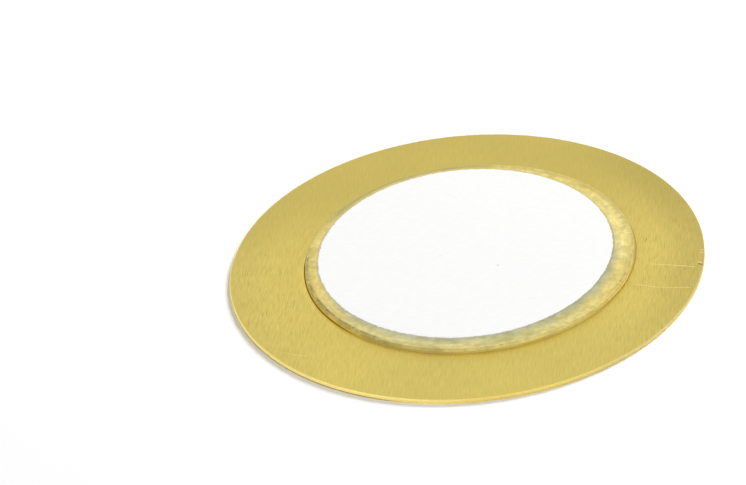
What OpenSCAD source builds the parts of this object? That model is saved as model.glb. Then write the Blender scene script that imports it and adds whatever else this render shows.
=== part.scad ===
// Piezo disc: a ceramic disc with two silver electrodes, bonded to a round brass plate.
// It lies flat. The origin is the centre of the plate's underside and +Z is up.

/* [Brass plate] */
// Diameter of the brass plate
plate_d = 20; // [16:0.5:35]
// Thickness of the brass plate
plate_t = 0.20; // [0.15:0.01:0.40]
// Radius of the die roll around the plate's top edge
roll_r = 0.045; // [0.02:0.005:0.07]
// Height of the fracture zone at the bottom of the sheared wall
fracture_h = 0.05; // [0.02:0.01:0.07]
// How far the fracture zone leans in at the plate's underside
fracture_lean = 0.01; // [0.005:0.005:0.02]
// Width of the nick in the rim
nick_w = 0.14; // [0.06:0.02:0.40]
// Depth of the nick in the rim
nick_depth = 0.05; // [0.02:0.01:0.08]
// Direction of the nick, in degrees anticlockwise from +X
nick_azimuth = -10; // [-180:1:180]

/* [Bond] */
// Thickness of the adhesive film under the ceramic
bond_t = 0.01; // [0.005:0.005:0.03]
// How far the adhesive fillet reaches out from the ceramic's wall
fillet_w = 0.07; // [0.03:0.01:0.15]
// How high the adhesive fillet climbs above the plate
fillet_h = 0.08; // [0.04:0.01:0.11]

/* [Ceramic] */
// Diameter of the ceramic disc
ceramic_d = 13.9; // [10:0.1:19]
// Thickness of the ceramic disc
ceramic_t = 0.19; // [0.16:0.01:0.40]
// Offset of the ceramic from the plate's centre along X
ceramic_x = 0.16; // [-0.3:0.01:0.3]
// Offset of the ceramic from the plate's centre along Y
ceramic_y = 0.29; // [-0.3:0.01:0.3]
// Width of the bevel around the ceramic's top edge
bevel_w = 0.06; // [0.02:0.01:0.10]
// Height of the bevel around the ceramic's top edge
bevel_h = 0.03; // [0.01:0.01:0.04]
// Depth of the chips in the ceramic's top edge
chip_depth = 0.04; // [0.02:0.01:0.06]

/* [Electrodes] */
// Thickness of each silver electrode
electrode_t = 0.01; // [0.005:0.005:0.02]
// Mean width of bare ceramic around the upper electrode
upper_margin = 0.71; // [0.55:0.01:1.50]
// Offset of the upper electrode from the ceramic's centre along X
upper_x = -0.17; // [-0.3:0.01:0.3]
// Offset of the upper electrode from the ceramic's centre along Y
upper_y = 0.25; // [-0.3:0.01:0.3]
// Width of bare ceramic around the lower electrode
lower_margin = 0.25; // [0.10:0.05:1.00]

/* [Hidden] */
$fn = 96;

// Number of straight steps in the fillet's hollow
fillet_steps = 6;

// Chips in the ceramic's top edge: direction in degrees from +X, and the radius of the bite
chips = [
    [169.5, 0.19],
    [178, 0.07],
    [185, 0.08],
    [199, 0.09],
    [206, 0.11],
    [224, 0.10],
    [231, 0.09],
    [-9, 0.08],
    [-19, 0.07],
    [-28, 0.10],
];

plate_r = plate_d / 2;
ceramic_r = ceramic_d / 2;
upper_r = ceramic_r - upper_margin;
lower_r = ceramic_r - lower_margin;

// Heights of the stack, from the plate's underside up
bond_z = plate_t;
lower_z = bond_z + bond_t;
ceramic_z = lower_z + electrode_t;
upper_z = ceramic_z + ceramic_t;

module on_ceramic_axis() {
    translate([ceramic_x, ceramic_y, 0])
        children();
}

// Half section of the plate. Its wall has, from the top down, a die roll, a straight
// burnished zone and a fracture zone that leans in.
module plate_section() {
    polygon([
        [0, 0],
        [plate_r - fracture_lean, 0],
        [plate_r, fracture_h],
        [plate_r, plate_t - roll_r],
        [plate_r - roll_r, plate_t],
        [0, plate_t],
    ]);
    translate([plate_r - roll_r, plate_t - roll_r])
        circle(r = roll_r);
}

// Round cutter that bites nick_depth into the rim and leaves a mouth nick_w wide
module rim_nick() {
    cutter_r = (nick_w * nick_w / 4 + nick_depth * nick_depth) / (2 * nick_depth);
    rotate([0, 0, nick_azimuth])
        translate([plate_r - nick_depth + cutter_r, 0, -plate_t])
            cylinder(r = cutter_r, h = 3 * plate_t);
}

module brass_plate() {
    color([0.80, 0.72, 0.38])
        difference() {
            rotate_extrude()
                plate_section();
            rim_nick();
        }
}

// Point on the fillet's hollow face, from its toe on the plate (0) to its top on the wall (90)
function fillet_point(angle) = [
    ceramic_r + fillet_w * (1 - sin(angle)),
    fillet_h * (1 - cos(angle))
];

// Half section of the adhesive: the film, a step up around the lower electrode, and the fillet
module bond_section() {
    hollow = [for (i = [0 : fillet_steps]) fillet_point(90 * i / fillet_steps)];
    film = [
        [ceramic_r, bond_t + electrode_t],
        [lower_r, bond_t + electrode_t],
        [lower_r, bond_t],
        [0, bond_t],
        [0, 0],
    ];
    polygon(concat(hollow, film));
}

module bond_layer() {
    color([0.62, 0.46, 0.14])
        on_ceramic_axis()
            translate([0, 0, bond_z])
                rotate_extrude()
                    bond_section();
}

module lower_electrode() {
    color([0.85, 0.85, 0.83])
        on_ceramic_axis()
            translate([0, 0, lower_z])
                cylinder(r = lower_r, h = electrode_t);
}

// Half section of the ceramic, with the bevel around its top edge
module ceramic_section() {
    polygon([
        [0, 0],
        [ceramic_r, 0],
        [ceramic_r, ceramic_t - bevel_h],
        [ceramic_r - bevel_w, ceramic_t],
        [0, ceramic_t],
    ]);
}

// Ball that bites chip_depth down into the top edge, in the middle of the bevel
module edge_chip(azimuth, bite_r) {
    rotate([0, 0, azimuth])
        translate([ceramic_r - bevel_w / 2, 0, ceramic_t - chip_depth + bite_r])
            sphere(r = bite_r);
}

module ceramic_disc() {
    color([0.88, 0.82, 0.58])
        on_ceramic_axis()
            translate([0, 0, ceramic_z])
                difference() {
                    rotate_extrude()
                        ceramic_section();
                    for (chip = chips)
                        edge_chip(chip[0], chip[1]);
                }
}

module upper_electrode() {
    color([0.96, 0.96, 0.95])
        on_ceramic_axis()
            translate([upper_x, upper_y, upper_z])
                cylinder(r = upper_r, h = electrode_t);
}

brass_plate();
bond_layer();
lower_electrode();
ceramic_disc();
upper_electrode();
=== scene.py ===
import math

import bmesh
import bpy
from bpy.props import FloatProperty, FloatVectorProperty, PointerProperty
from mathutils import Matrix, Vector, noise


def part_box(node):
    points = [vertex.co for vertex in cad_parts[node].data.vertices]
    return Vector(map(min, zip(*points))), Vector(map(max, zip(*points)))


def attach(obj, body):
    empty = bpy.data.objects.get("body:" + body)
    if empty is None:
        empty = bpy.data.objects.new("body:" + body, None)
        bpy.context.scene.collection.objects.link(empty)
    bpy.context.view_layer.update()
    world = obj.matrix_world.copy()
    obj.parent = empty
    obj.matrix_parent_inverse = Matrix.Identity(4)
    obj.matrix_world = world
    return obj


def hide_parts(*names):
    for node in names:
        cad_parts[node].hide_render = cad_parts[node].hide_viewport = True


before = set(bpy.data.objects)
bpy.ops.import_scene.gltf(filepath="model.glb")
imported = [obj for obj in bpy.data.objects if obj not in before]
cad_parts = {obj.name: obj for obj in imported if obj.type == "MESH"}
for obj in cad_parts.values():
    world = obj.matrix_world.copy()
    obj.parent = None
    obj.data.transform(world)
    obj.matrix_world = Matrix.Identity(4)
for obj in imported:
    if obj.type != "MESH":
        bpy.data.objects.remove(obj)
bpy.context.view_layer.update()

bl_info = {
    "name": "Piezo disc",
    "version": (1, 0, 0),
    "blender": (4, 5, 0),
    "location": "View3D > Sidebar > Piezo disc",
    "description": "Builds a bare piezo disc: brass plate, adhesive fillet, ceramic and silver print",
    "category": "Add Mesh",
}

MM = 0.001

PLATE_LOW, PLATE_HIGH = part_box("brass_plate")
BOND_LOW, BOND_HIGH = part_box("bond_layer")
CERAMIC_LOW, CERAMIC_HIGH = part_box("ceramic_disc")
PRINT_LOW, PRINT_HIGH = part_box("upper_electrode")

PLATE_R = (PLATE_HIGH.x - PLATE_LOW.x) / 2
PLATE_T = PLATE_HIGH.z
CERAMIC_R = (CERAMIC_HIGH.x - CERAMIC_LOW.x) / 2
CERAMIC_CENTRE = (CERAMIC_LOW + CERAMIC_HIGH) / 2
BOND_R = (BOND_HIGH.x - BOND_LOW.x) / 2
PRINT_R = (PRINT_HIGH.x - PRINT_LOW.x) / 2
PRINT_CENTRE = (PRINT_LOW + PRINT_HIGH) / 2

# Radii in mm, as the materials use them
PLATE_R_MM = PLATE_R / MM
CERAMIC_R_MM = CERAMIC_R / MM
PRINT_R_MM = PRINT_R / MM

# How many steps each section is spun in
PLATE_STEPS = 540
FILLET_STEPS = 900
CERAMIC_STEPS = 1080
PRINT_STEPS = 1440

# Where rings of vertices lie on the plate's top, as distances from its rim in mm
TOP_RINGS = (0.07, 0.10, 0.13, 0.17, 0.21, 0.26, 0.32, 0.4, 1.5, 5.0)

# Directions are in degrees from +X towards +Y, about the centre of the piece that they are on.

# Bites out of the plate's rim: direction, width and depth
RIM_BITES = [
    (-11.0, 0.14 * MM, 0.050 * MM),
    (-4.9, 0.09 * MM, 0.012 * MM),
    (-1.6, 0.07 * MM, 0.009 * MM),
]
# A bite deeper than this gets its extra vertices over a wider part of the rim
DEEP_BITE = 0.03 * MM

# The dent behind the rim's widest bite: both ends, half width and depth
DENT = ((9.585 * MM, -1.830 * MM), (9.900 * MM, -2.090 * MM), 0.035 * MM, 0.030 * MM)

# Chips in the ceramic's arris: direction, half width and depth
ARRIS_CHIPS = [
    (169.5, 0.120 * MM, 0.040 * MM),
    (178.0, 0.062 * MM, 0.034 * MM),
    (185.0, 0.070 * MM, 0.036 * MM),
    (199.0, 0.075 * MM, 0.036 * MM),
    (206.0, 0.085 * MM, 0.038 * MM),
    (224.0, 0.080 * MM, 0.038 * MM),
    (231.0, 0.075 * MM, 0.036 * MM),
    (-9.0, 0.070 * MM, 0.036 * MM),
    (-19.0, 0.062 * MM, 0.034 * MM),
    (-28.0, 0.080 * MM, 0.038 * MM),
]
FRESH_CHIP = ARRIS_CHIPS[0]

# Coarse and fine wear of the ceramic's arris, and how far from it wear and chips reach
ARRIS_WEAR, ARRIS_GRIT = 0.006 * MM, 0.004 * MM
ARRIS_REACH = 0.09 * MM

# Unevenness of the plate's torn edge, and of its rim
TORN_WANDER, RIM_WANDER = 0.009 * MM, 0.0015 * MM

# The band of the print along its edge that wanders, where its edge is most ragged, and where and
# how far it is pulled in
PRINT_EDGE = 0.1 * MM
RAGGED_AT = math.radians(212)
PULLED_AT, PULLED_IN = math.radians(-18), 0.024 * MM

# Hairline scratches in the brass, and painted glints: the last three rows are painted highlights, one
# on the upper side of the dent and two on burrs at the rim. Both ends in mm, half width in mm and
# strength
SCRATCHES_AND_GLINTS = [
    ((7.54, -1.48), (9.60, -2.12), 0.013, 0.95),
    ((6.70, -2.87), (7.90, -3.35), 0.012, 0.9),
    ((7.85, -3.33), (9.15, -3.59), 0.012, 0.9),
    ((-8.43, -5.02), (-6.90, -5.70), 0.016, 0.4),
    ((9.605, -1.731), (9.750, -1.815), 0.024, 1.0),
    ((9.780, -0.835), (9.900, -0.868), 0.018, 0.8),
    ((9.760, -1.040), (9.885, -1.070), 0.018, 0.8),
]
SCRATCH_AND_GLINT_COLOUR = (0.90, 0.78, 0.31)

# Dark nicks in the brass, given in the same way; the first row is painted shade on the lower side of
# the dent
NICKS_AND_DENT_SHADE = [
    ((9.585, -1.830), (9.800, -2.030), 0.028, 1.0),
    ((7.540, 0.190), (7.650, 0.480), 0.020, 0.5),
    ((8.985, -2.240), (9.030, -2.030), 0.020, 0.45),
]
NICK_AND_SHADE_COLOUR = (0.30, 0.22, 0.04)

# The dark streaks along the brass's grain
STREAK_COLOUR = (0.42, 0.28, 0.06)

# Colours of the rim's sheared wall: plain, the part lit by painted light, the dull part, and the torn
# foot, which also carries painted shade
WALL_COLOUR = (0.93, 0.775, 0.25)
LIT_WALL_COLOUR = (1.0, 0.855, 0.33)
DULL_WALL_COLOUR = (0.74, 0.64, 0.28)
TORN_AND_SHADE_COLOUR = (0.27, 0.19, 0.065)

# The one scratch on the ceramic, given as in SCRATCHES_AND_GLINTS
CERAMIC_SCRATCHES = [((5.61, -3.08), (5.95, -3.28), 0.018, 1.0)]

# Specks in the print: X and Y in mm, size in mm and strength
PRINT_SPECKS = [
    (1.28, -0.73, 0.065, 0.8),
    (-1.07, 0.45, 0.05, 0.5),
]

# Zones of painted shade on the brass: direction, half width and fade, start and end radius in mm,
# tint
PAINTED_SHADE_ZONES = [
    (2, 20, 38, 7.9, 9.6, (0.85, 0.855, 0.87)),
    (178, 20, 35, 8.2, 9.8, (0.93, 0.94, 0.96)),
    (-82, 22, 30, 5.0, 6.0, (0.955, 0.96, 0.97)),
]

# Painted shade on the plate's die roll, which dims its highlight: direction, half width and fade,
# tint
ROLL_SHADE_TINTS = [
    (-124, 30, 18, (0.83, 0.81, 0.72)),
    (-121, 17, 13, (0.91, 0.91, 0.93)),
    (-16, 28, 16, (0.86, 0.87, 0.92)),
]

# Colours of the adhesive, and of the fillet's thin toe: direction, half width and fade, colour. The
# light colour at 199 degrees is a painted highlight on the fillet's face, and the dark one at 12
# degrees is painted shade
FILLET_COLOURS_AND_LIGHT = [
    (199, 26, 12, (0.92, 0.73, 0.17)),
    (-42, 15, 13, (0.78, 0.64, 0.22)),
    (-116, 10, 12, (0.66, 0.525, 0.16)),
    (12, 24, 14, (0.42, 0.32, 0.085)),
]
# The toe's dark line is the adhesive's dark edge and painted shade where it meets the brass
TOE_COLOURS_AND_SHADE = [
    (2, 34, 26, (0.37, 0.26, 0.04)),
    (194, 19, 15, (0.33, 0.22, 0.006)),
]

# Broad stains of the ceramic, and painted light and shade on its side wall by direction, given in the
# same way
CERAMIC_STAINS = [
    (-95, 15, 50, (0.635, 0.57, 0.235)),
    (12, 9, 24, (0.835, 0.70, 0.25)),
]
SIDE_SHADING_TINTS = [
    (5, 22, 20, (0.90, 0.89, 0.86)),
    (-30, 10, 10, (1.08, 1.10, 1.15)),
    (-60, 16, 14, (1.12, 1.15, 1.20)),
    (-70, 8, 12, (1.13, 1.11, 1.08)),
    (-84, 30, 16, (1.20, 1.21, 1.20)),
    (-110, 10, 12, (1.14, 1.14, 1.14)),
    (-129, 9, 12, (0.84, 0.85, 0.87)),
    (198, 24, 14, (1.38, 1.33, 1.12)),
]

# Tints of the ceramic's bare ring: direction, half width and fade, radius and half band in mm, tint
RING_TINTS = [
    (-152, 3, 5, 6.47, 0.10, (1.18, 1.18, 1.21)),
    (-121, 6, 6, 6.50, 0.12, (1.12, 1.13, 1.16)),
    (-100, 2, 4, 6.75, 0.12, (1.20, 1.17, 1.14)),
    (-77, 4, 5, 6.55, 0.25, (0.84, 0.85, 0.79)),
    (-57, 10, 6, 6.32, 0.08, (0.86, 0.88, 0.86)),
    (-14, 5, 8, 6.73, 0.04, (0.83, 0.85, 0.81)),
    (-2, 14, 8, 6.38, 0.06, (1.14, 1.15, 1.24)),
    (32, 8, 8, 6.83, 0.08, (0.86, 0.84, 0.75)),
    (60, 4, 6, 6.80, 0.08, (0.84, 0.86, 0.93)),
    (182, 8, 14, 6.60, 0.30, (0.95, 0.95, 0.97)),
]
# How far the ring's tints fade out beyond their bands, in mm
RING_FADE = 0.09

# The grain that rolling leaves in the brass, and the weave that screen printing leaves in silver
BRASS_GRAIN = {"Lines_per_mm": 23.0, "Length_mm": 0.7, "Streak_cover": 0.60}
PRINT_WEAVE = {"Angle": math.radians(12), "Lines_per_mm": 9.0, "Length_mm": 0.5,
               "Streak_cover": 0.66}

# The range of a noise that holds most of its values, for fine noises and for those round the ring
SPREAD = (0.3, 0.7)
RING_SPREAD = (0.34, 0.66)

# Upward share of a face's normal: a wall up to the first value, the top from the second on
WALL_TO_TOP = (0.15, 0.6)

# Lamps: name, place and diameter in metres, power in watts, and whether metal mirrors it
LAMPS = [
    ("Softbox", (-0.26, -0.16, 0.26), 0.25, 0.25, True),
    ("Fill", (0.24, -0.235, 0.16), 0.30, 0.50, False),
    ("Key", (0.198, 0.242, 0.215), 0.18, 1.58, False),
]

# World light on the object, and what is added where the world itself is seen or mirrored
WORLD_LIGHT = 0.26
WORLD_SEEN = 0.74

# The floor: albedo, its own glow near and far where it is seen, and the distances between them
FLOOR_ALBEDO = 0.95
FLOOR_GLOW_NEAR, FLOOR_GLOW_FAR = 0.025, 0.77
FLOOR_NEAR, FLOOR_FAR = 0.03, 0.14
FLOOR_HALF_WIDTH = 3.0

# The camera: lens and sensor in mm, place in mm and axes
LENS, SENSOR = 329.32, 36
CAMERA_PLACE = Vector((-2.802, -238.843, 158.434)) * MM
CAMERA_RIGHT = Vector((0.994431, -0.054826, -0.090005))
CAMERA_UP = Vector((0.105329, 0.545830, 0.831249))
CAMERA_AHEAD = Vector((-0.003554, 0.836101, -0.548565))


class PiezoDiscSettings(bpy.types.PropertyGroup):
    brass_colour: FloatVectorProperty(
        name="Brass colour", description="Colour of the plate's rolled faces",
        default=(0.697, 0.558, 0.141), min=0, max=1, subtype="COLOR")
    ceramic_colour: FloatVectorProperty(
        name="Ceramic colour", description="Colour of the bare ceramic margin",
        default=(0.755, 0.605, 0.185), min=0, max=1, subtype="COLOR")
    haze_colour: FloatVectorProperty(
        name="Haze colour", description="Grey-green stain beside the silver print",
        default=(0.40, 0.40, 0.25), min=0, max=1, subtype="COLOR")
    adhesive_colour: FloatVectorProperty(
        name="Adhesive colour", description="Colour of the squeezed-out adhesive",
        default=(0.77, 0.61, 0.19), min=0, max=1, subtype="COLOR")
    print_colour: FloatVectorProperty(
        name="Print colour", description="Colour of the fired silver print",
        default=(0.915, 0.915, 0.91), min=0, max=1, subtype="COLOR")
    grain_angle: FloatProperty(
        name="Grain angle", description="Direction of the rolling grain from +X",
        default=math.radians(80.5), subtype="ANGLE", unit="ROTATION")
    die_roll: FloatProperty(
        name="Die roll", description="Radius of the rounded top edge of the plate",
        default=0.045 * MM, min=0.001 * MM, subtype="DISTANCE", unit="LENGTH")
    fracture_height: FloatProperty(
        name="Fracture height", description="Height of the torn part of the sheared wall",
        default=0.05 * MM, min=0.001 * MM, subtype="DISTANCE", unit="LENGTH")
    bevel_width: FloatProperty(
        name="Bevel width", description="Width of the bevel on the ceramic's top edge",
        default=0.06 * MM, min=0.001 * MM, subtype="DISTANCE", unit="LENGTH")
    print_ragged: FloatProperty(
        name="Print raggedness", description="How far the print's edge wanders",
        default=0.035 * MM, min=0, subtype="DISTANCE", unit="LENGTH")
    print_smear: FloatProperty(
        name="Print smear", description="How far the squeegee dragged the print's edge out along Y",
        default=0.15 * MM, min=0, subtype="DISTANCE", unit="LENGTH")


def settings():
    """The sizes and colours set in the sidebar."""
    return bpy.context.scene.piezo_disc


# ---- meshes ----

def arc(centre, reach, start, end, steps=8):
    """Points of an elliptical arc, as (radius, height), from one angle in degrees to another."""
    angles = [math.radians(start + (end - start) * i / steps) for i in range(steps + 1)]
    return [(centre[0] + reach[0] * math.cos(a), centre[1] + reach[1] * math.sin(a))
            for a in angles]


def spin_section(points, steps, closed=False):
    """Spins a section of (radius, height) about Z: from axis to axis, or a closed one off it."""
    bm = bmesh.new()
    verts = [bm.verts.new((r, 0, z)) for r, z in points]
    ends = verts[1:] + verts[:1] if closed else verts[1:]
    edges = [bm.edges.new(pair) for pair in zip(verts, ends)]
    bmesh.ops.spin(bm, geom=verts + edges, cent=(0, 0, 0), axis=(0, 0, 1),
                   angle=math.tau, steps=steps, use_merge=True)
    bmesh.ops.remove_doubles(bm, verts=bm.verts, dist=1e-8)
    return bm


def cut_meridians(bm, azimuth, spread, count, reach):
    """Adds planes of vertices through the axis on both sides of one direction, near the rim."""
    near = Vector((math.cos(azimuth), math.sin(azimuth)))
    for i in range(-count, count + 1):
        a = azimuth + spread * i / count
        faces = [f for f in bm.faces
                 if f.calc_center_median().xy.length > reach
                 and f.calc_center_median().xy.normalized().dot(near) > 0.9]
        geom = list({e for f in faces for e in f.edges}) + list({v for f in faces for v in f.verts})
        bmesh.ops.bisect_plane(bm, geom=faces + geom, dist=1e-9, plane_co=(0, 0, 0),
                               plane_no=(-math.sin(a), math.cos(a), 0))


def wobble(angle, frequency, seed):
    """Smooth repeatable wave between about -1 and 1 round a ring; the seed picks another one."""
    return noise.noise(Vector((math.cos(angle) * frequency, math.sin(angle) * frequency, seed)))


def angle_between(a, b):
    """Difference of two angles, between -pi and pi."""
    return (a - b + math.pi) % math.tau - math.pi


def smear_shape(angle):
    """Share of the print's smear at an angle: narrower at the front than at the back."""
    along_y = math.sin(angle)
    return along_y ** 2 if along_y > 0 else along_y ** 4


def polar(vertex):
    """Radius and angle of a vertex about Z."""
    return vertex.co.xy.length, math.atan2(vertex.co.y, vertex.co.x)


def move_to_radius(vertex, radius):
    """Moves a vertex in or out along its own radius."""
    share = radius / vertex.co.xy.length
    vertex.co.x *= share
    vertex.co.y *= share


def finish_piece(bm, name, material, node, sharp):
    """Turns the bmesh into a piece that rides on the body, and hides its CAD node."""
    bmesh.ops.recalc_face_normals(bm, faces=bm.faces)
    mesh = bpy.data.meshes.new(name)
    bm.to_mesh(mesh)
    bm.free()
    mesh.shade_smooth()
    mesh.set_sharp_from_angle(angle=math.radians(sharp))
    mesh.materials.append(material)
    piece = bpy.data.objects.new(name, mesh)
    bpy.context.scene.collection.objects.link(piece)
    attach(piece, "root")
    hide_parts(node)


# ---- node helpers ----

class Nodes:
    """Short calls for adding linked nodes to one tree."""

    def __init__(self, tree):
        self.tree = tree

    def add(self, kind, **values):
        """Adds a node and sets its properties."""
        made = self.tree.nodes.new(kind)
        for key, value in values.items():
            setattr(made, key, value)
        return made

    def feed(self, socket, value):
        """Links another node's output to a socket, or sets the socket's own value."""
        if isinstance(value, bpy.types.NodeSocket):
            self.tree.links.new(value, socket)
        else:
            socket.default_value = value

    def math(self, operation, a, b=0.0):
        made = self.add("ShaderNodeMath", operation=operation)
        self.feed(made.inputs[0], a)
        self.feed(made.inputs[1], b)
        return made.outputs[0]

    def times(self, value, *others):
        """Product of two or more values."""
        for other in others:
            value = self.math("MULTIPLY", value, other)
        return value

    def total(self, value, *others):
        """Sum of two or more values."""
        for other in others:
            value = self.math("ADD", value, other)
        return value

    def largest(self, value, *others):
        """Largest of two or more values."""
        for other in others:
            value = self.math("MAXIMUM", value, other)
        return value

    def ramp(self, value, low, high, out_low=0.0, out_high=1.0):
        """Smooth step: out_low up to low, out_high from high on."""
        made = self.add("ShaderNodeMapRange", interpolation_type="SMOOTHSTEP")
        for key, entry in (("Value", value), ("From Min", low), ("From Max", high),
                           ("To Min", out_low), ("To Max", out_high)):
            self.feed(made.inputs[key], entry)
        return made.outputs["Result"]

    def fall(self, value, low, high, out_high=0.0):
        """Smooth step down: 1 up to low, out_high from high on."""
        return self.ramp(value, low, high, 1.0, out_high)

    def mix(self, factor, a, b, blend="MIX"):
        """Colour a where the factor is 0 and colour b, or a blended with b, where it is 1."""
        made = self.add("ShaderNodeMix", data_type="RGBA", blend_type=blend)
        self.feed(made.inputs["Factor"], factor)
        for socket, value in ((made.inputs[6], a), (made.inputs[7], b)):
            self.feed(socket, (*value, 1) if isinstance(value, tuple) else value)
        return made.outputs[2]

    def tint(self, base, mask, colour):
        """Base multiplied by a colour, as far as the mask says."""
        return self.mix(mask, base, colour, "MULTIPLY")

    def stain(self, base, mask, strength, colour):
        """Base covered by a colour, as far as the mask and the strength say."""
        return self.mix(self.times(mask, strength), base, colour)

    def noise(self, vector, scale, detail=3.0, rough=0.55):
        made = self.add("ShaderNodeTexNoise")
        for key, value in (("Vector", vector), ("Scale", scale),
                           ("Detail", detail), ("Roughness", rough)):
            self.feed(made.inputs[key], value)
        return made.outputs["Fac"]

    def split(self, vector):
        """X, Y and Z of a vector."""
        made = self.add("ShaderNodeSeparateXYZ")
        self.feed(made.inputs[0], vector)
        return made.outputs

    def join(self, x, y, z=0.0):
        made = self.add("ShaderNodeCombineXYZ")
        for socket, value in zip(made.inputs, (x, y, z)):
            self.feed(socket, value)
        return made.outputs[0]

    def offset(self, vector, origin):
        """A vector seen from another origin."""
        made = self.add("ShaderNodeVectorMath", operation="SUBTRACT")
        self.feed(made.inputs[0], vector)
        self.feed(made.inputs[1], origin)
        return made.outputs[0]

    def turn_back(self, vector, angle):
        """A vector turned about Z, against an angle."""
        made = self.add("ShaderNodeVectorRotate", rotation_type="Z_AXIS")
        self.feed(made.inputs["Vector"], vector)
        self.feed(made.inputs["Angle"], self.times(angle, -1.0))
        return made.outputs[0]

    def use(self, group, **values):
        """Places a node group, with spaces for the underscores in its inputs' names."""
        made = self.add("ShaderNodeGroup", node_tree=group)
        for key, value in values.items():
            self.feed(made.inputs[key.replace("_", " ")], value)
        return made.outputs


FLOAT, VECTOR = "NodeSocketFloat", "NodeSocketVector"


def new_group(name, inputs, outputs):
    """A new node group: its node helper, its inputs to read and its outputs to feed."""
    tree = bpy.data.node_groups.new(name, "ShaderNodeTree")
    for label, kind, default in inputs:
        socket = tree.interface.new_socket(name=label, in_out="INPUT", socket_type=kind)
        if default is not None:
            socket.default_value = default
    for label, kind in outputs:
        tree.interface.new_socket(name=label, in_out="OUTPUT", socket_type=kind)
    n = Nodes(tree)
    return n, n.add("NodeGroupInput").outputs, n.add("NodeGroupOutput").inputs


def built_once(name):
    """Decorator: builds a named group on its first use and hands out the same one after that."""
    def wrap(build):
        def fetch():
            if name not in bpy.data.node_groups:
                build(name)
            return bpy.data.node_groups[name]
        return fetch
    return wrap


@built_once("Stretched grain")
def stretched_grain(name):
    """Group: fine lines in one direction, as rolling or screen printing leaves them."""
    n, given, out = new_group(
        name,
        [("Vector", VECTOR, None), ("Angle", FLOAT, 0.0), ("Lines per mm", FLOAT, 12.0),
         ("Length mm", FLOAT, 2.0), ("Streak cover", FLOAT, 0.5)],
        [("Lines", FLOAT), ("Streaks", FLOAT)])
    turned = n.split(n.turn_back(given["Vector"], given["Angle"]))
    along = n.math("DIVIDE", turned["X"], given["Length mm"])

    def lined(scale, shift, stretch=1.0):
        return n.join(n.math("ADD", n.times(along, stretch), shift),
                      n.times(turned["Y"], n.times(given["Lines per mm"], scale)))

    n.feed(out["Lines"], n.noise(lined(1.0, 0.0), 1.0, 4.0, 0.65))
    streaks = n.noise(lined(1.3, 7.3, 0.95), 1.0, 1.0, 0.4)
    n.feed(out["Streaks"], n.ramp(streaks, given["Streak cover"],
                                  n.math("ADD", given["Streak cover"], 0.12)))


@built_once("Polar about a point")
def polar_about(name):
    """Group: distance from a point in mm, and direction about it."""
    n, given, out = new_group(
        name, [("Vector", VECTOR, None), ("Centre", VECTOR, None)],
        [("Radius", FLOAT), ("Azimuth", FLOAT)])
    place = n.split(n.offset(given["Vector"], given["Centre"]))
    squared = n.math("ADD", n.math("POWER", place["X"], 2.0), n.math("POWER", place["Y"], 2.0))
    n.feed(out["Radius"], n.math("SQRT", squared))
    n.feed(out["Azimuth"], n.math("ARCTAN2", place["Y"], place["X"]))


@built_once("Ring coordinates")
def ring_coordinates(name):
    """Group: coordinates that run along and across a ring about a point, with no seam."""
    n, given, out = new_group(
        name,
        [("Radius", FLOAT, 0.0), ("Azimuth", FLOAT, 0.0),
         ("Along", FLOAT, 7.0), ("Across", FLOAT, 1.0)],
        [("Vector", VECTOR)])
    n.feed(out["Vector"], n.join(n.times(n.math("COSINE", given["Azimuth"]), given["Along"]),
                                 n.times(n.math("SINE", given["Azimuth"]), given["Along"]),
                                 n.times(given["Radius"], given["Across"])))


@built_once("Hairline scratch")
def hairline(name):
    """Group: mask of one hairline mark, in mm. A long one wanders a little and breaks up."""
    n, given, out = new_group(
        name,
        [("Vector", VECTOR, None), ("Middle", VECTOR, None), ("Angle", FLOAT, 0.0),
         ("Half length", FLOAT, 1.0), ("Half width", FLOAT, 0.015)],
        [("Mask", FLOAT)])
    place = n.split(n.turn_back(n.offset(given["Vector"], given["Middle"]), given["Angle"]))
    long = n.ramp(given["Half length"], 0.2, 0.5)
    wander = n.times(n.math("SUBTRACT", n.noise(given["Vector"], 0.9, 2.0), 0.5),
                     n.times(long, 0.12))
    across = n.fall(n.math("ABSOLUTE", n.math("ADD", place["Y"], wander)),
                    given["Half width"], n.times(given["Half width"], 2.2))
    ends = n.fall(n.math("ABSOLUTE", place["X"]),
                  n.times(given["Half length"], 0.8), given["Half length"])
    broken = n.ramp(n.noise(given["Vector"], 5.0, 2.0), 0.24, 0.42)
    broken = n.largest(broken, n.math("SUBTRACT", 1.0, long))
    n.feed(out["Mask"], n.times(across, ends, broken))


@built_once("Sector")
def sector_mask(name):
    """Group: mask that is 1 within the half width of a direction and then fades out."""
    n, given, out = new_group(
        name,
        [("Azimuth", FLOAT, 0.0), ("Direction", FLOAT, 0.0),
         ("Half width", FLOAT, 0.3), ("Fade", FLOAT, 0.3)],
        [("Mask", FLOAT)])
    turned = n.math("COSINE", n.math("SUBTRACT", given["Azimuth"], given["Direction"]))
    outside = n.math("COSINE", n.math("ADD", given["Half width"], given["Fade"]))
    n.feed(out["Mask"], n.ramp(turned, outside, n.math("COSINE", given["Half width"])))


@built_once("Smear reach")
def smear_reach(name):
    """Group: how far the print's edge is dragged out along Y, with the shape of smear_shape."""
    n, given, out = new_group(
        name, [("Azimuth", FLOAT, 0.0), ("Smear mm", FLOAT, 0.15)], [("Reach mm", FLOAT)])
    along_y = n.math("SINE", given["Azimuth"])
    back = n.largest(along_y, 0.0)
    front = n.math("MINIMUM", along_y, 0.0)
    front = n.times(front, front)
    shape = n.total(n.times(back, back), n.times(front, front))
    n.feed(out["Reach mm"], n.times(shape, given["Smear mm"]))


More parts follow.
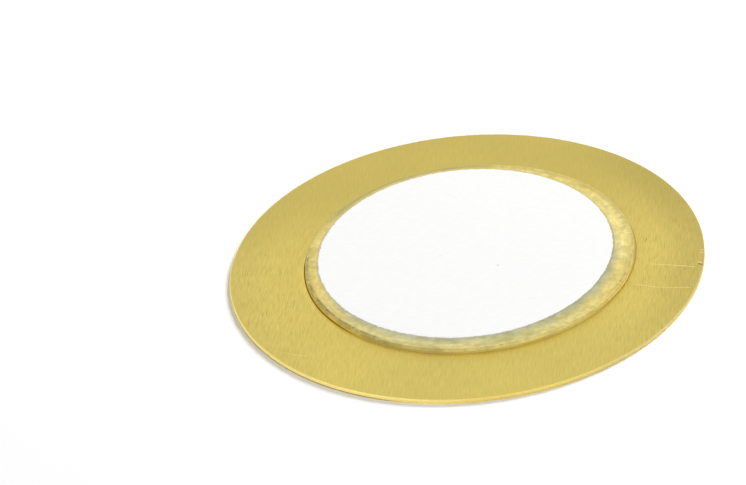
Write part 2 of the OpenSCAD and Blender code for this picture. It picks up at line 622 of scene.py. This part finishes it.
def hairlines(n, mm, rows):
    """Mask of several hairline marks, each given by both ends, half width and strength."""
    masks = []
    for (x0, y0), (x1, y1), half, strength in rows:
        mask = n.use(hairline(), Vector=mm, Middle=((x0 + x1) / 2, (y0 + y1) / 2, 0.0),
                     Angle=math.atan2(y1 - y0, x1 - x0),
                     Half_length=math.hypot(x1 - x0, y1 - y0) / 2, Half_width=half)["Mask"]
        masks.append(n.times(mask, strength))
    return n.largest(*masks)


def start_material(name):
    """A material, its node helper, its Principled shader's inputs, and object coordinates in mm."""
    material = bpy.data.materials.new(name)
    material.use_nodes = True
    tree = material.node_tree
    n = Nodes(tree)
    scale = n.add("ShaderNodeVectorMath", operation="SCALE")
    n.feed(scale.inputs[0], n.add("ShaderNodeTexCoord").outputs["Object"])
    scale.inputs["Scale"].default_value = 1 / MM
    return material, n, tree.nodes["Principled BSDF"].inputs, scale.outputs[0]


def add_bump(n, shader, height, strength, distance):
    """Feeds a height through a bump to the shader."""
    bump = n.add("ShaderNodeBump")
    bump.inputs["Strength"].default_value = strength
    bump.inputs["Distance"].default_value = distance
    n.feed(bump.inputs["Height"], height)
    n.feed(shader["Normal"], bump.outputs[0])


def upward(n):
    """How far a face looks up, from 0 on a wall to 1 on a flat top."""
    return n.split(n.add("ShaderNodeNewGeometry").outputs["Normal"])["Z"]


def seen(n):
    """1 for camera, glossy and transmission rays, which see a surface, and 0 for all others."""
    rays = n.add("ShaderNodeLightPath").outputs
    return n.largest(rays["Is Camera Ray"], rays["Is Glossy Ray"], rays["Is Transmission Ray"])


def about_centre(n, mm, centre):
    """Radius in mm and direction about a centre given in metres."""
    found = n.use(polar_about(), Vector=mm, Centre=tuple(v / MM for v in centre))
    return found["Radius"], found["Azimuth"]


def sector(n, azimuth, direction, half, fade):
    """Mask of a sector, given by its direction, half width and fade in degrees."""
    return n.use(sector_mask(), Azimuth=azimuth, Direction=math.radians(direction),
                 Half_width=math.radians(half), Fade=math.radians(fade))["Mask"]


def print_smear(n, s, azimuth):
    """How far the print's edge reaches past its circle, in mm."""
    return n.use(smear_reach(), Azimuth=azimuth, Smear_mm=s.print_smear / MM)["Reach mm"]


def shade(colour, share):
    """A colour made darker or lighter, but no lighter than white."""
    return tuple(min(c * share, 1.0) for c in colour)


# ---- materials ----

def brass_material(s):
    """Rolled brass: its grain, cloudy tarnish, scratches and nicks, and the sheared wall of the rim,
    with painted shade, painted light and painted glints.
    """
    material, n, shader, mm = start_material("Rolled brass")
    colour = tuple(s.brass_colour)
    x, y, z = n.split(mm)
    radius, azimuth = about_centre(n, mm, (0, 0, 0))
    up = upward(n)
    wall = n.ramp(radius, PLATE_R_MM - 0.045, PLATE_R_MM - 0.015)
    rounded = n.ramp(up, *WALL_TO_TOP)

    def zone(*span):
        return sector(n, azimuth, *span)

    # Tarnish: cloudy. The darkening towards the back and the duller zones are painted shade, a
    # gradient of light
    base = n.mix(n.ramp(n.noise(mm, 0.22), *SPREAD), shade(colour, 0.97), shade(colour, 1.02))
    back_shade = n.mix(n.ramp(y, -1.0, 7.0), (1.035, 1.035, 1.03), (0.895, 0.895, 0.87))
    base = n.tint(base, 1.0, back_shade)
    for *span, start, end, dull in PAINTED_SHADE_ZONES:
        base = n.tint(base, n.times(zone(*span), n.ramp(radius, start, end)), dull)

    # The rolling grain, clearest in front and at both sides
    grain = n.use(stretched_grain(), Vector=mm, Angle=s.grain_angle, **BRASS_GRAIN)
    side = n.ramp(n.math("ABSOLUTE", x), 3.0, 8.5, 0.2, 1.0)
    fine = n.mix(n.ramp(grain["Lines"], *SPREAD), (0.905, 0.90, 0.87), (1.065, 1.065, 1.06))
    clear = n.times(n.fall(y, 1.0, 7.0, 0.6), n.ramp(side, 0.2, 1.0, 0.75, 1.0))
    base = n.tint(base, clear, fine)

    # Painted light on the brass along the ceramic's foot, where it mirrors the dark foot
    foot, _ = about_centre(n, mm, CERAMIC_CENTRE)
    foot_light = n.times(n.fall(foot, CERAMIC_R_MM + 0.08, CERAMIC_R_MM + 0.42), zone(-138, 38, 24))
    base = n.tint(base, foot_light, (1.12, 1.12, 1.10))

    # Dark streaks along the grain, in bands, on the flat face only
    band = n.ramp(n.noise(mm, 0.55, 2.0), 0.42, 0.6, 0.55, 1.0)
    dark = n.times(grain["Streaks"], n.times(side, band), n.ramp(y, 0.0, 4.0, 0.72, 0.14))
    base = n.mix(n.times(dark, n.math("SUBTRACT", 1.0, wall)), base, STREAK_COLOUR)

    # Scratches and nicks, with painted glints and the painted shade of the dent
    face = n.ramp(up, 0.5, 0.9)
    scratches_and_glints = n.times(hairlines(n, mm, SCRATCHES_AND_GLINTS), face)
    nicks_and_dent_shade = n.times(hairlines(n, mm, NICKS_AND_DENT_SHADE), face)
    base = n.stain(base, scratches_and_glints, 0.85, SCRATCH_AND_GLINT_COLOUR)
    base = n.stain(base, nicks_and_dent_shade, 0.8, NICK_AND_SHADE_COLOUR)

    # The rim: sheared wall, die roll, and the torn part at the wall's foot, with painted light and
    # painted shade
    base = n.stain(base, wall, 0.9, WALL_COLOUR)
    # Painted light on the wall at the front left, where the wall mirrors a shadowed floor
    base = n.mix(n.times(wall, zone(-131, 26, 16)), base, LIT_WALL_COLOUR)
    dulled = n.times(zone(-26, 24, 24), n.ramp(rounded, 0.0, 1.0, 0.65, 1.0))
    base = n.mix(n.times(wall, dulled), base, DULL_WALL_COLOUR)
    # Painted shade that dims the die roll's highlight
    for *span, roll_shade in ROLL_SHADE_TINTS:
        base = n.tint(base, n.times(wall, rounded, zone(*span)), roll_shade)
    torn_top = s.fracture_height / MM
    torn = n.times(wall, n.fall(z, torn_top - 0.025, torn_top))
    # The torn foot's own dark colour all round, and painted shade under the rim at the front left
    torn_and_gap_shade = n.total(0.06, n.times(zone(-139, 17, 18), 0.85))
    base = n.mix(n.times(torn, torn_and_gap_shade), base, TORN_AND_SHADE_COLOUR)

    n.feed(shader["Base Color"], base)
    shader["Metallic"].default_value = 1.0
    rough = n.ramp(grain["Lines"], *SPREAD, 0.47, 0.38)
    sheared = n.times(wall, n.ramp(up, *WALL_TO_TOP, 0.25, 0.0))
    n.feed(shader["Roughness"], n.total(rough, sheared, n.times(scratches_and_glints, 0.12)))
    raised = n.total(n.times(grain["Lines"], 0.6), n.times(n.noise(mm, 26.0, 2.0), wall, 0.8))
    sunk = n.times(n.total(grain["Streaks"], scratches_and_glints), 0.35)
    add_bump(n, shader, n.math("SUBTRACT", raised, sunk), 0.35, 0.004 * MM)
    return material


def adhesive_material(s):
    """Amber adhesive, darker in places, with a painted highlight and painted shade on the fillet, and
    a toe darkened both as its dark edge and as painted shade.
    """
    material, n, shader, mm = start_material("Squeezed-out adhesive")
    colour = tuple(s.adhesive_colour)
    radius, azimuth = about_centre(n, mm, CERAMIC_CENTRE)
    lumps = n.noise(mm, 1.3)
    base = n.mix(n.ramp(lumps, *SPREAD), shade(colour, 0.9), shade(colour, 1.08))
    # Colours by direction, among them a painted highlight and painted shade
    for *span, tone_and_light in FILLET_COLOURS_AND_LIGHT:
        base = n.mix(sector(n, azimuth, *span), base, tone_and_light)
    # The dark toe: the adhesive's edge, and painted shade at the brass
    toe = n.ramp(radius, CERAMIC_R_MM + 0.006, CERAMIC_R_MM + 0.026)
    for *span, tone_and_light in TOE_COLOURS_AND_SHADE:
        base = n.mix(n.times(toe, sector(n, azimuth, *span)), base, tone_and_light)
    n.feed(shader["Base Color"], base)
    n.feed(shader["Roughness"], n.ramp(lumps, *SPREAD, 0.28, 0.45))
    shader["Specular IOR Level"].default_value = 0.05
    add_bump(n, shader, n.noise(mm, 14.0), 0.3, 0.004 * MM)
    return material


def chip_place(degrees):
    """Middle of a chip on the ceramic's arris, in metres."""
    a = math.radians(degrees)
    r = CERAMIC_R - 0.03 * MM
    return CERAMIC_CENTRE.x + r * math.cos(a), CERAMIC_CENTRE.y + r * math.sin(a), CERAMIC_HIGH.z


def ceramic_material(s):
    """Fired ceramic: mottled ring, grey-green haze beside the print, dirty arris, and painted light
    and shade on the side wall and bevel.
    """
    material, n, shader, mm = start_material("Fired piezo ceramic")
    cream, haze = tuple(s.ceramic_colour), tuple(s.haze_colour)
    radius, azimuth = about_centre(n, mm, CERAMIC_CENTRE)
    print_radius, print_azimuth = about_centre(n, mm, PRINT_CENTRE)
    up = upward(n)

    def zone(*span):
        return sector(n, azimuth, *span)

    def ring_noise(along, across, detail=3.0, rough=0.55):
        ring = n.use(ring_coordinates(), Radius=radius, Azimuth=azimuth, Along=along, Across=across)
        return n.noise(ring["Vector"], 1.0, detail, rough)

    def near_rim(start, end):
        """Mask that grows between two distances from the rim, in mm."""
        return n.ramp(radius, CERAMIC_R_MM - start, CERAMIC_R_MM - end)

    def off_rim(start, end, left=0.0):
        """Mask that fades between two distances from the rim, in mm."""
        return n.fall(radius, CERAMIC_R_MM - start, CERAMIC_R_MM - end, left)

    # The bare ring: broad stains, patches and mottling
    blotch = ring_noise(7.0, 1.3, rough=0.5)
    speckle = n.noise(mm, 16.0)
    base = n.mix(n.ramp(blotch, *RING_SPREAD), shade(cream, 0.95), shade(cream, 1.05))
    for *span, colour in CERAMIC_STAINS:
        base = n.stain(base, zone(*span), 0.9, colour)
    patch = n.ramp(ring_noise(12.0, 3.2), *RING_SPREAD)
    base = n.tint(base, 1.0, n.mix(patch, (0.845, 0.835, 0.775), (1.07, 1.08, 1.155)))
    mottle = n.ramp(n.noise(mm, 4.2, 2.0, 0.5), 0.36, 0.64)
    base = n.tint(base, 1.0, n.mix(mottle, (0.93, 0.925, 0.89), (1.045, 1.05, 1.08)))
    for *span, middle, band, ring_tint in RING_TINTS:
        off = n.math("ABSOLUTE", n.math("SUBTRACT", radius, middle))
        base = n.tint(base, n.times(zone(*span), n.fall(off, band, band + RING_FADE)), ring_tint)
    base = n.stain(base, n.ramp(speckle, 0.4, 0.8), 0.2, (0.50, 0.43, 0.18))
    radial = n.ramp(ring_noise(60.0, 0.8, rough=0.6), 0.35, 0.65)
    base = n.stain(base, radial, 0.10, (0.55, 0.46, 0.17))

    # Haze beside the print, and the thin dark line along its edge
    print_edge = n.total(print_smear(n, s, print_azimuth), PRINT_R_MM)
    off_print = n.math("SUBTRACT", print_radius, print_edge)
    fade = n.fall(off_print, 0.02, n.ramp(ring_noise(9.0, 0.2), *SPREAD, 0.40, 0.72))
    clouds = n.ramp(ring_noise(12.0, 1.6, rough=0.5), *RING_SPREAD)
    haze = n.mix(clouds, shade(haze, 0.82), shade(haze, 1.24))
    hazy = n.largest(zone(-70, 38, 48), n.times(zone(-132, 10, 26), 0.85))
    base = n.stain(base, n.times(fade, hazy), 0.95, haze)
    line = n.fall(off_print, 0.03, 0.09)
    base = n.stain(base, line, 0.55, (0.50, 0.46, 0.24))
    base = n.stain(base, n.times(line, zone(-28, 30, 22)), 0.6, (0.33, 0.32, 0.20))

    # The side wall and the bevel: painted light and shade on the side wall by direction, painted
    # shade towards its foot, and painted light on the bevel in front
    side = n.fall(up, *WALL_TO_TOP)
    foot = CERAMIC_LOW.z / MM
    low = n.times(side, n.fall(n.split(mm)["Z"], foot, foot + 0.12))
    base = n.tint(base, side, (1.06, 1.04, 1.02))
    for *span, side_shading in SIDE_SHADING_TINTS:
        base = n.tint(base, n.times(side, zone(*span)), side_shading)
    base = n.tint(base, low, (0.96, 0.93, 0.88))
    bevel = n.times(near_rim(0.075, 0.03), n.ramp(up, *WALL_TO_TOP))
    base = n.tint(base, n.times(bevel, zone(-72, 34, 18)), (1.15, 1.15, 1.13))

    # Wear towards the arris: dull zones, flecks, ticks, one streak and a thin line
    worn = n.times(near_rim(0.32, 0.03), n.ramp(up, 0.1, 0.4))
    dull = n.largest(n.times(zone(190, 28, 22), 0.5), n.times(zone(-6, 26, 12), 0.9),
                     zone(34, 14, 16))
    base = n.stain(base, n.times(worn, dull), 0.75, (0.56, 0.43, 0.13))
    inner = n.times(near_rim(0.16, 0.11), off_rim(0.07, 0.03))
    flecks = n.times(zone(-15, 12, 8), n.ramp(ring_noise(30.0, 6.0, 2.0), 0.40, 0.58))
    base = n.stain(base, n.times(inner, flecks), 0.7, (0.42, 0.33, 0.12))
    ticks = n.ramp(ring_noise(150.0, 1.0, 1.0), 0.50, 0.62)
    ticks = n.times(ticks, zone(14, 12, 10), near_rim(0.42, 0.25))
    base = n.stain(base, ticks, 0.35, (0.50, 0.38, 0.15))
    base = n.stain(base, n.times(near_rim(0.30, 0.12), zone(-107, 2, 4)), 0.3, (0.36, 0.29, 0.13))
    base = n.stain(base, n.times(near_rim(0.05, 0.02), zone(11, 15, 14)), 0.9, (0.36, 0.28, 0.09))
    base = n.stain(base, hairlines(n, mm, CERAMIC_SCRATCHES), 0.5, (0.86, 0.76, 0.40))

    # Grime beside the arris, the old edge at the back, and the fresh chip
    grime = n.times(near_rim(0.20, 0.09), off_rim(0.062, 0.025, 0.05))
    broken = n.ramp(ring_noise(20.0, 3.0, 2.0, 0.5), 0.36, 0.58, 0.25, 1.0)
    where = n.largest(zone(209, 16, 14), zone(180, 8, 9))
    base = n.stain(base, n.times(grime, broken, where), 0.93, (0.235, 0.195, 0.065))
    old_edge = n.times(zone(112, 22, 25), n.ramp(off_print, 0.0, 0.2))
    base = n.stain(base, old_edge, 0.9, (0.40, 0.34, 0.12))
    fresh, _ = about_centre(n, mm, chip_place(FRESH_CHIP[0]))
    base = n.stain(base, n.fall(fresh, 0.07, 0.20), 0.65, (0.80, 0.66, 0.29))

    n.feed(shader["Base Color"], base)
    n.feed(shader["Roughness"], n.ramp(blotch, *SPREAD, 0.42, 0.58))
    shader["Specular IOR Level"].default_value = 0.3
    add_bump(n, shader, n.total(speckle, blotch), 0.25, 0.005 * MM)
    return material


def start_silver(name):
    """A silver film's material, started, with its weave's lines, its rough face and its relief."""
    material, n, shader, mm = start_material(name)
    lines = n.use(stretched_grain(), Vector=mm, **PRINT_WEAVE)["Lines"]
    n.feed(shader["Roughness"], n.ramp(lines, *SPREAD, 0.55, 0.7))
    add_bump(n, shader, lines, 0.2, 0.003 * MM)
    return material, n, shader, mm, n.ramp(lines, *SPREAD)


def print_material(s):
    """Fired silver that thins out at the print's edge and has two specks."""
    material, n, shader, mm, weave = start_silver("Fired silver print")
    colour = tuple(s.print_colour)
    radius, azimuth = about_centre(n, mm, PRINT_CENTRE)
    edge = n.math("SUBTRACT", radius, print_smear(n, s, azimuth))
    thin = n.ramp(edge, PRINT_R_MM - 0.05, PRINT_R_MM)
    patchy = n.ramp(n.noise(mm, 7.0), 0.35, 0.65, 0.25, 0.85)
    base = n.mix(weave, shade(colour, 0.965), colour)
    base = n.mix(n.times(thin, patchy), base, (0.48, 0.48, 0.40))
    specks = []
    for x, y, size, strength in PRINT_SPECKS:
        spot, _ = about_centre(n, mm, (x * MM, y * MM, 0.0))
        spot = n.total(spot, n.times(n.noise(mm, 12.0, 2.0), 0.06))
        specks.append(n.times(n.fall(spot, size * 0.6, size * 1.5), strength))
    base = n.mix(n.largest(*specks), base, (0.42, 0.42, 0.30))
    n.feed(shader["Base Color"], base)
    return material


def hidden_silver_material():
    """Plain silver for the film under the ceramic."""
    material, n, shader, _, weave = start_silver("Hidden silver film")
    n.feed(shader["Base Color"], n.mix(weave, (0.66, 0.66, 0.63), (0.74, 0.74, 0.72)))
    return material


# ---- operators ----

class PIEZO_OT_brass_plate(bpy.types.Operator):
    """Build the blanked brass plate with its die roll, sheared wall and rim nick"""
    bl_idname = "piezo.brass_plate"
    bl_label = "Brass plate"

    def execute(self, context):
        s = settings()
        r, t, roll, torn = PLATE_R, PLATE_T, s.die_roll, s.fracture_height

        # Underside, torn foot that leans inwards, sheared wall, die roll and top
        lean = 0.01 * MM
        section = [(0, 0), (r * 0.5, 0), (r * 0.9, 0), (r - 0.06 * MM, 0),
                   (r - lean - 0.004 * MM, 0), (r - lean, 0.003 * MM), (r - lean * 0.4, torn * 0.6),
                   (r, torn), (r, (torn + t - roll) / 2)]
        section += arc((r - roll, t - roll), (roll, roll), 0, 90)
        section += [(r - inset * MM, t) for inset in TOP_RINGS] + [(0, t)]
        bm = spin_section(section, PLATE_STEPS)

        # Finer steps at the bites, then bites, dent and unevenness in the plate's outer part
        rim = r * 0.955
        for azimuth, width, depth in RIM_BITES:
            spread = width * (1.5 if depth > DEEP_BITE else 0.75) / r
            cut_meridians(bm, math.radians(azimuth), spread, 10, rim)
        for v in bm.verts:
            radius, a = polar(v)
            if radius < rim:
                continue
            if 0.2 * torn < v.co.z < 1.2 * torn:
                v.co.z += TORN_WANDER * wobble(a, 90.0, 3.1)
            if v.co.z > t / 2:
                v.co.z -= self.dent_depth(v.co.xy)
            squeeze = RIM_WANDER * (1 + wobble(a, 40.0, 8.4))
            move_to_radius(v, min(radius - squeeze, self.bitten_radius(a)))
        finish_piece(bm, "brass_disc", brass_material(s), "brass_plate", sharp=40)
        return {"FINISHED"}

    def bitten_radius(self, angle):
        """The plate's radius at an angle, less what a bite takes off there."""
        limit = PLATE_R
        for azimuth, width, depth in RIM_BITES:
            off = abs(angle_between(angle, math.radians(azimuth))) * PLATE_R
            if off < width / 2:
                limit = min(limit, PLATE_R - depth * (1 - (2 * off / width) ** 2))
        return limit

    def dent_depth(self, place):
        """How deep the dent is at a place on the plate's top: deepest at its outer end."""
        (x0, y0), (x1, y1), half, deep = DENT
        along = Vector((x1 - x0, y1 - y0))
        away = place - Vector((x0, y0))
        share = min(max(away.dot(along) / along.length_squared, 0.0), 1.0)
        off = (away - along * share).length
        return deep * (0.4 + 0.6 * share) * math.exp(-(off / half) ** 2)


class PIEZO_OT_adhesive_fillet(bpy.types.Operator):
    """Build the adhesive that was squeezed out round the ceramic's foot"""
    bl_idname = "piezo.adhesive_fillet"
    bl_label = "Adhesive fillet"

    def execute(self, context):
        s = settings()
        toe, wall, low = BOND_R, CERAMIC_R, PLATE_T

        # Bottom, hollow outer face, and a tongue that reaches under the ceramic
        rise = BOND_HIGH.z - low - 0.004 * MM
        section = [(wall - 0.4 * MM, low), (toe - 0.002 * MM, low)]
        section += arc((toe, low + 0.002 * MM + rise), (toe - wall, rise), 270, 180)
        section += [(wall - 0.02 * MM, low + rise), (wall - 0.02 * MM, low + 0.009 * MM),
                    (wall - 0.4 * MM, low + 0.009 * MM)]
        bm = spin_section(section, FILLET_STEPS, closed=True)

        # The toe draws back and the face sags where the adhesive gives way
        base = low + 0.006 * MM
        for v in bm.verts:
            radius, a = polar(v)
            outward = max(0.0, (radius - wall) / (toe - wall))
            give = 0.45 + 0.5 * wobble(a, 5.0, 1.7) + 0.10 * wobble(a, 40.0, 5.2)
            give = min(max(give, 0.0), 1.0)
            move_to_radius(v, radius - outward * give * 0.22 * (toe - wall))
            sag = 0.5 + 0.5 * max(0.0, -math.sin(a)) * give
            if radius > wall - 0.03 * MM and v.co.z > base:
                v.co.z = base + (v.co.z - base) * (1 - 0.45 * sag)
        bmesh.ops.translate(bm, verts=bm.verts, vec=(CERAMIC_CENTRE.x, CERAMIC_CENTRE.y, 0))
        finish_piece(bm, "adhesive_ring", adhesive_material(s), "bond_layer", sharp=60)
        return {"FINISHED"}


class PIEZO_OT_ceramic(bpy.types.Operator):
    """Build the ceramic with its worn and chipped arris"""
    bl_idname = "piezo.ceramic"
    bl_label = "Ceramic disc"

    def execute(self, context):
        s = settings()
        r, low, high, bevel = CERAMIC_R, CERAMIC_LOW.z, CERAMIC_HIGH.z, s.bevel_width

        # Underside, side wall, flat rounded bevel and top
        drop = bevel * 0.5
        wall = r - 0.002 * MM
        section = [(0, low), (r * 0.9, low), (r - 0.01 * MM, low), (wall, low + 0.01 * MM),
                   (wall, low + 0.07 * MM), (wall, high - drop - 0.02 * MM)]
        section += arc((r - bevel, high - drop), (bevel - 0.002 * MM, drop), 0, 90)
        section += [(r - bevel - 0.02 * MM, high), (r - bevel - 0.05 * MM, high), (r * 0.97, high),
                    (r * 0.9, high), (0, high)]
        bm = spin_section(section, CERAMIC_STEPS)

        # Wear and chips, which thin out away from the bevel's middle
        middle = Vector((r - bevel / 2, high))
        for v in bm.verts:
            radius, a = polar(v)
            if radius < r - bevel - 0.06 * MM or v.co.z < high - 0.1 * MM:
                continue
            near = max(0.0, 1 - (Vector((radius, v.co.z)) - middle).length / ARRIS_REACH)
            bite = self.bite_depth(a) * near
            v.co.z -= bite
            move_to_radius(v, radius - bite * 0.7)
        bmesh.ops.translate(bm, verts=bm.verts, vec=(CERAMIC_CENTRE.x, CERAMIC_CENTRE.y, 0))
        finish_piece(bm, "ceramic_plate", ceramic_material(s), "ceramic_disc",
                     sharp=35)
        return {"FINISHED"}

    def bite_depth(self, angle):
        """What wear and chips take off the arris at an angle."""
        bite = ARRIS_WEAR * max(0.0, wobble(angle, 70.0, 2.2))
        bite += ARRIS_GRIT * max(0.0, wobble(angle, 160.0, 6.1))
        for azimuth, half, depth in ARRIS_CHIPS:
            off = abs(angle_between(angle, math.radians(azimuth))) * CERAMIC_R
            if off < half:
                shape = (1 - (off / half) ** 2) * (0.8 + 0.35 * wobble(angle, 400.0, azimuth))
                bite = max(bite, depth * shape)
        return bite


class PIEZO_OT_silver_print(bpy.types.Operator):
    """Build the screen-printed silver on top, and finish the hidden film below"""
    bl_idname = "piezo.silver_print"
    bl_label = "Silver prints"

    def execute(self, context):
        s = settings()
        r, low, high = PRINT_R, PRINT_LOW.z, PRINT_HIGH.z

        # Underside, thin edge, the low ridge that the screen leaves beside it, and top
        section = [(0, low), (r * 0.9, low), (r - 0.012 * MM, low),
                   (r - 0.003 * MM, low + 0.002 * MM), (r - 0.006 * MM, low + 0.006 * MM),
                   (r - 0.022 * MM, high - 0.001 * MM), (r - 0.05 * MM, high),
                   (r - 0.09 * MM, high - 0.0008 * MM), (r * 0.97, high - 0.001 * MM),
                   (0, high - 0.001 * MM)]
        bm = spin_section(section, PRINT_STEPS)

        # The edge wanders, and the squeegee dragged it out along Y
        inside = r - PRINT_EDGE
        for v in bm.verts:
            radius, a = polar(v)
            if radius < inside:
                continue
            wander = (0.7 * wobble(a, 30.0, 4.4) + 0.9 * wobble(a, 75.0, 9.3)
                      + 0.4 * wobble(a, 200.0, 0.6))
            wander *= 1 + 0.8 * max(0.0, math.cos(a - RAGGED_AT))
            pulled = PULLED_IN * max(0.0, math.cos(a - PULLED_AT)) ** 8
            grown = s.print_smear * smear_shape(a) + s.print_ragged * wander - pulled
            move_to_radius(v, radius + grown * (radius - inside) / PRINT_EDGE)
        bmesh.ops.translate(bm, verts=bm.verts, vec=(PRINT_CENTRE.x, PRINT_CENTRE.y, 0))
        finish_piece(bm, "silver_print", print_material(s), "upper_electrode",
                     sharp=50)

        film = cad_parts["lower_electrode"]
        finish = hidden_silver_material()
        if film.material_slots:
            film.material_slots[0].material = finish
        else:
            film.data.materials.append(finish)
        return {"FINISHED"}


class PIEZO_OT_stage(bpy.types.Operator):
    """Make the pale floor, the soft light and the camera"""
    bl_idname = "piezo.stage"
    bl_label = "Stage"

    def execute(self, context):
        scene = context.scene
        self.make_floor(scene)
        self.make_world(scene)
        for lamp in LAMPS:
            self.make_lamp(scene, *lamp)
        self.make_camera(scene)
        scene.view_settings.view_transform = "Standard"
        return {"FINISHED"}

    def make_floor(self, scene):
        """A wide floor that glows where it is seen, more so far from the disc."""
        bm = bmesh.new()
        bmesh.ops.create_grid(bm, x_segments=2, y_segments=2, size=FLOOR_HALF_WIDTH)
        mesh = bpy.data.meshes.new("floor")
        bm.to_mesh(mesh)
        bm.free()
        floor = bpy.data.objects.new("floor", mesh)
        scene.collection.objects.link(floor)
        material = bpy.data.materials.new("Pale floor")
        material.use_nodes = True
        tree = material.node_tree
        n = Nodes(tree)
        shader = tree.nodes["Principled BSDF"].inputs
        shader["Base Color"].default_value = (FLOOR_ALBEDO, FLOOR_ALBEDO, FLOOR_ALBEDO, 1)
        shader["Roughness"].default_value = 0.9
        shader["Specular IOR Level"].default_value = 0.1
        shader["Emission Color"].default_value = (1, 1, 1, 1)
        away = n.add("ShaderNodeVectorMath", operation="LENGTH")
        n.feed(away.inputs[0], n.add("ShaderNodeTexCoord").outputs["Object"])
        glow = n.ramp(away.outputs["Value"], FLOOR_NEAR, FLOOR_FAR, FLOOR_GLOW_NEAR, FLOOR_GLOW_FAR)
        n.feed(shader["Emission Strength"], n.times(seen(n), glow))
        mesh.materials.append(material)

    def make_world(self, scene):
        """White surroundings, brighter where they are seen than as a light."""
        world = bpy.data.worlds.new("Studio")
        world.use_nodes = True
        scene.world = world
        n = Nodes(world.node_tree)
        back = world.node_tree.nodes["Background"].inputs
        back["Color"].default_value = (1, 1, 1, 1)
        n.feed(back["Strength"], n.total(WORLD_LIGHT, n.times(seen(n), WORLD_SEEN)))

    def make_lamp(self, scene, name, place, size, power, mirrored):
        """A round lamp that faces the origin."""
        lamp = bpy.data.lights.new(name, "AREA")
        lamp.shape = "DISK"
        lamp.size = size
        lamp.energy = power
        holder = bpy.data.objects.new(name, lamp)
        holder.location = place
        holder.rotation_euler = (-Vector(place)).to_track_quat("-Z", "Y").to_euler()
        holder.visible_glossy = mirrored
        scene.collection.objects.link(holder)

    def make_camera(self, scene):
        """A long lens from the front, above."""
        lens = bpy.data.cameras.new("Camera")
        lens.sensor_width = SENSOR
        lens.lens = LENS
        lens.clip_start = 0.01
        lens.clip_end = 10
        camera = bpy.data.objects.new("Camera", lens)
        turn = Matrix((CAMERA_RIGHT, CAMERA_UP, -CAMERA_AHEAD)).transposed()
        camera.matrix_world = Matrix.Translation(CAMERA_PLACE) @ turn.to_4x4()
        scene.collection.objects.link(camera)
        scene.camera = camera


class PIEZO_PT_panel(bpy.types.Panel):
    bl_label = "Piezo disc"
    bl_idname = "PIEZO_PT_panel"
    bl_space_type = "VIEW_3D"
    bl_region_type = "UI"
    bl_category = "Piezo disc"

    def draw(self, context):
        column = self.layout.column(align=True)
        for name in PiezoDiscSettings.__annotations__:
            column.prop(context.scene.piezo_disc, name)
        for operator in OPERATORS:
            column.operator(operator.bl_idname)


OPERATORS = (PIEZO_OT_brass_plate, PIEZO_OT_adhesive_fillet, PIEZO_OT_ceramic,
             PIEZO_OT_silver_print, PIEZO_OT_stage)
CLASSES = (PiezoDiscSettings, *OPERATORS, PIEZO_PT_panel)


def register():
    for item in CLASSES:
        bpy.utils.register_class(item)
    bpy.types.Scene.piezo_disc = PointerProperty(type=PiezoDiscSettings)


def unregister():
    del bpy.types.Scene.piezo_disc
    for item in reversed(CLASSES):
        bpy.utils.unregister_class(item)


def main():
    register()
    bpy.ops.piezo.brass_plate()
    bpy.ops.piezo.adhesive_fillet()
    bpy.ops.piezo.ceramic()
    bpy.ops.piezo.silver_print()
    bpy.ops.piezo.stage()


if __name__ == "__main__":
    main()
